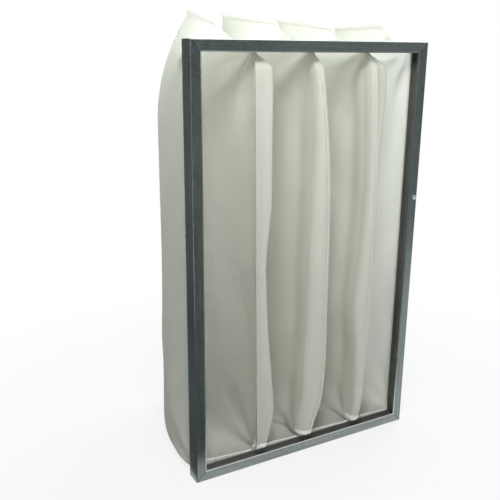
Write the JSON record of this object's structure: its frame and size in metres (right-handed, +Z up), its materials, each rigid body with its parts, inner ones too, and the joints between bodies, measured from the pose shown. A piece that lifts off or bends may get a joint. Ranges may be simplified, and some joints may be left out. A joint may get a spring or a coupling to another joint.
{
  "type": "bag air filter",
  "caption": "Bag air filter: a folded galvanised header frame with side-by-side sewn pockets of white non-woven medium, open at the front and closed by a seam at the back.",
  "frame": {"origin": "middle of the header's underside, half way through the header's depth", "axes": "+Z up along the header's height, +X across it towards the lapped jamb, +Y with the air from the mouth towards the folds"},
  "size_m": [0.3824, 0.2407, 0.627],
  "materials": {
    "header": "galvanised sheet, satin",
    "rivet": "bright",
    "clamp": "galvanised sheet, dull",
    "medium": "matt non-woven fibre"
  },
  "bodies": {
    "root": {"header_frame": "header", "closing_rivet": "rivet", "clamp_strip_bottom": "clamp", "clamp_strip_top": "clamp", "clamp_strip_left": "clamp", "clamp_strip_right": "clamp", "pocket_1": "medium", "pocket_2": "medium", "pocket_3": "medium", "pocket_4": "medium"}
  },
  "joints": []
}
